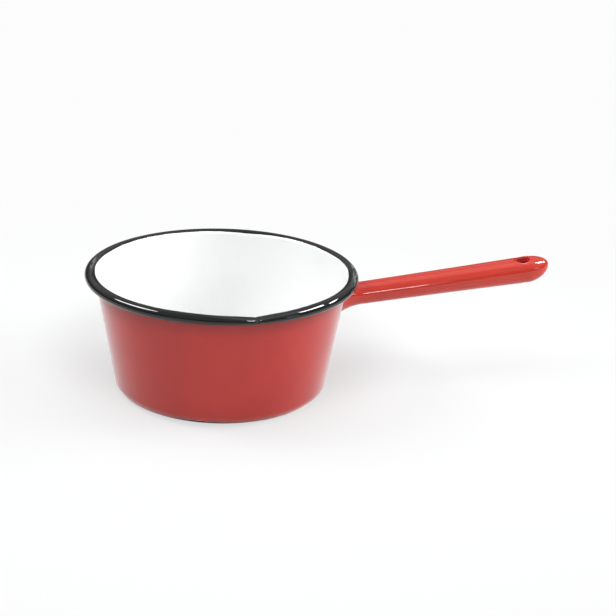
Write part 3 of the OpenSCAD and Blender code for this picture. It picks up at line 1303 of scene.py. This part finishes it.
@dataclass(frozen=True)
class Softbox:
    """A lamp with a flat face, placed by the azimuth and elevation of its two ends."""

    name: str
    first: Span
    last: Span
    distance: float
    height: float
    radiance: float
    target: Vector = field(default_factory=lambda: PAN_MIDDLE)
    reflected: bool = True
    lights: bool = True
    face: Face = Face.OBLONG

    def build(self) -> None:
        """Adds the lamp, facing its target."""
        first, last = (toward(*end) * self.distance for end in (self.first, self.last))
        middle = (first + last) / 2
        along = (last - first).normalized()
        out = (middle - along * middle.dot(along)).normalized()
        data = bpy.data.lights.new(self.name, "AREA")
        data.shape = self.face.value
        data.size, data.size_y = (last - first).length, self.height
        filled = math.pi / 4 if self.face is Face.OVAL else 1.0
        data.energy = self.radiance * math.pi * data.size * data.size_y * filled
        lamp = bpy.data.objects.new(self.name, data)
        bpy.context.scene.collection.objects.link(lamp)
        lamp.visible_glossy = self.reflected
        lamp.visible_diffuse = self.lights
        turned = Matrix((along, out.cross(along), out)).transposed().to_4x4()
        lamp.matrix_world = Matrix.Translation(self.target + middle) @ turned
        LOG.info("lamp %s, %.2f m long", self.name, data.size)


@dataclass(frozen=True)
class Studio:
    """Pale floor, dim room, soft lamps and the camera at the photograph's viewing angle.

    The floor shows as white paper, by its own glow, in a share that grows with the distance from
    the pan. The rest of it is lit by the lamps and takes the pan's shadow.
    """

    target_height: float
    azimuth: float = -14.2
    elevation: float = 19.14
    distance: float = 1.0
    swing: float = -3.046
    tilt: float = 1.319
    roll: float = 1.27
    lens: float = 94.985
    floor_size: float = 14.0
    floor_drop: float = 0.15 * MM
    floor_colour: Colour = (0.735, 0.75, 0.75)
    contact: Span = (57.0 * MM, 58.5 * MM)
    dark_under: Span = (62 * MM, 65.5 * MM)
    near: Span = (0.17, 0.45)
    dusk: Span = (1.0, 2.2)
    glow_share: float = 0.72
    near_glow: Colour = (0.91, 0.91, 0.91)
    # Painted shadow: the floor's glow is dimmed to this colour in a ring behind the pan.
    shade_glow: Colour = (0.76, 0.76, 0.76)
    shade_middle: Triple = (0.017, 0.068, 0.0)
    shade_edge: Span = (0.08, 0.135)
    white: Colour = (0.975, 0.975, 0.975)
    low_colour: Colour = (0.115, 0.115, 0.115)
    room_colour: Colour = (0.50, 0.50, 0.51)
    room_rise: Span = (math.radians(13), math.radians(27))
    lamps: tuple[Softbox, ...] = (
        Softbox("right_streak", (80, 53), (97.5, 40), 1.8, 0.42, 40.0, lights=False),
        Softbox("right_streak_end", (100.6, 34.6), (102.8, 29), 1.8, 0.42, 40.0, lights=False),
        Softbox("left_streak", (-96, 58), (-133, 39), 1.8, 0.50, 22.0, lights=False, face=Face.OVAL),
        Softbox("lip_glint", (38, 70), (46, 70), 0.6, 0.07, 110.0, LIP_TOP, lights=False, face=Face.OVAL),
        Softbox("right_softbox", (59, 35), (100, 19), 1.8, 0.26, 18.7, reflected=False),
        Softbox("left_softbox", (-89, 55), (-130, 37), 1.8, 0.26, 17.6, reflected=False),
        Softbox("front_strip", (12, 14.5), (17, 14.5), 2.0, 0.18, 16.0, HANDLE_NECK),
        Softbox("root_strip", (38, 15.5), (50, 12), 2.0, 0.18, 6.0, HANDLE_NECK, lights=False),
        Softbox("top_soft", (60, 66), (152, 60), 2.0, 0.8, 0.7, lights=False),
        Softbox("overhead", (-90, 66), (90, 66), 1.9, 1.4, 2.95, reflected=False),
        Softbox("side_fill", (40, 24), (86, 16), 2.2, 0.9, 1.3, reflected=False),
        Softbox("front_fill", (-30, 8), (50, 8), 2.2, 0.5, 1.3, reflected=False),
    )

    def build_floor(self) -> None:
        """Adds the floor: it takes the pan's shadow, and turns plain white away from it."""
        mesh = bpy.data.meshes.new("floor")
        half = self.floor_size / 2
        corners = [(-half, -half, 0), (half, -half, 0), (half, half, 0), (-half, half, 0)]
        mesh.from_pydata(corners, [], [(0, 1, 2, 3)])
        mesh.materials.append(self.floor_material())
        floor = bpy.data.objects.new("floor", mesh)
        floor.location.z = -self.floor_drop
        bpy.context.scene.collection.objects.link(floor)

    def floor_material(self) -> bpy.types.Material:
        """Makes the pale matt floor, white to the camera and to reflections away from the pan, with a
        painted shadow in its glow behind the pan.

        Returns:
            The material.
        """
        made = bpy.data.materials.new("floor_paper")
        shader = Shader(made)
        ray = shader.ray()
        away = shader.vector("LENGTH", shader.place)["Value"]
        seen = shader.band(away, *self.contact) * (ray["Is Camera Ray"] + ray["Is Transmission Ray"])
        mirrored = shader.band(away, *self.dark_under) * ray["Is Glossy Ray"]
        open_floor = shader.band(away, *self.near)
        share = (seen + mirrored) * (self.glow_share + open_floor * (1 - self.glow_share))
        # Painted shadow: the glow seen by the camera is dimmer close behind the pan.
        behind = shader.vector("DISTANCE", shader.place, self.shade_middle)["Value"]
        clear = shader.band(behind, *self.shade_edge) + ray["Is Glossy Ray"]
        close_glow = shader.mix(clear, self.shade_glow, self.near_glow)
        paper_glow = shader.mix(open_floor, close_glow, self.white)
        dusk = shader.band(away, *self.dusk) * ray["Is Glossy Ray"]
        glow = shader.mix(dusk, paper_glow, self.low_colour)
        lit = shader.node("ShaderNodeBsdfDiffuse", {}, {"Color": (*self.floor_colour, 1.0)})["BSDF"]
        paper = shader.node("ShaderNodeEmission", {}, {"Color": glow, "Strength": 1.0})[0]
        both = shader.node("ShaderNodeMixShader", {}, {0: share, 1: lit, 2: paper})[0]
        shader.node("ShaderNodeOutputMaterial", {}, {"Surface": both})
        return made

    def build_room(self) -> None:
        """Sets the world: white to the camera, dark low down all round and dim above."""
        world = bpy.data.worlds.new("room")
        bpy.context.scene.world = world
        shader = Shader(world)
        direction = shader.node("ShaderNodeTexCoord", {}, {})["Generated"]
        above = shader.band(shader.axes(direction)["Z"], *(math.sin(angle) for angle in self.room_rise))
        colour = shader.mix(above, self.low_colour, self.room_colour)
        colour = shader.mix(shader.ray()["Is Camera Ray"], colour, self.white)
        room = shader.node("ShaderNodeBackground", {}, {"Color": colour, "Strength": 1.0})[0]
        shader.node("ShaderNodeOutputWorld", {}, {"Surface": room})

    def build_camera(self) -> None:
        """Adds the camera at the viewing angle fitted to the photograph."""
        out = toward(self.azimuth, self.elevation)
        right = toward(self.azimuth + 90, 0)
        turned = Matrix((right, out.cross(right), out)).transposed()
        for angle, axis in ((self.swing, "Y"), (-self.tilt, "X"), (self.roll, "Z")):
            turned = turned @ Matrix.Rotation(math.radians(angle), 3, axis)
        data = bpy.data.cameras.new("camera")
        data.lens = self.lens
        camera = bpy.data.objects.new("camera", data)
        bpy.context.scene.collection.objects.link(camera)
        place = Vector((0, 0, self.target_height)) + out * self.distance
        camera.matrix_world = Matrix.Translation(place) @ turned.to_4x4()
        bpy.context.scene.camera = camera

    def build(self) -> None:
        """Builds the whole studio."""
        bpy.context.scene.view_settings.view_transform = "Standard"
        self.build_floor()
        self.build_room()
        self.build_camera()
        for lamp in self.lamps:
            lamp.build()


def dress_solids() -> None:
    """Gives the solids that stay their own finishes."""
    finishes = {"steel_pan": (Slot.STEEL, DullSteel()), "handle_shell": (Slot.STEEL, DullSteel()),
                "root_weld": (Slot.WELD, WeldBead()), "handle_seam": (Slot.WELD, WeldBead())}
    for name, (slot, finish) in finishes.items():
        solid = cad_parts[name]
        solid.data.materials.clear()
        solid.data.materials.append(finish.material())
        LOG.info("%s dressed", name)


def main() -> None:
    """Builds the studio, the pan and its handle."""
    logging.basicConfig(level=logging.INFO, format="%(name)s: %(message)s")
    pan = PressedPan.from_frame()
    Studio(target_height=pan.height).build()
    pan.dress()
    HollowHandle.from_frame(pan).dress()
    dress_solids()


if __name__ == "__main__":
    main()
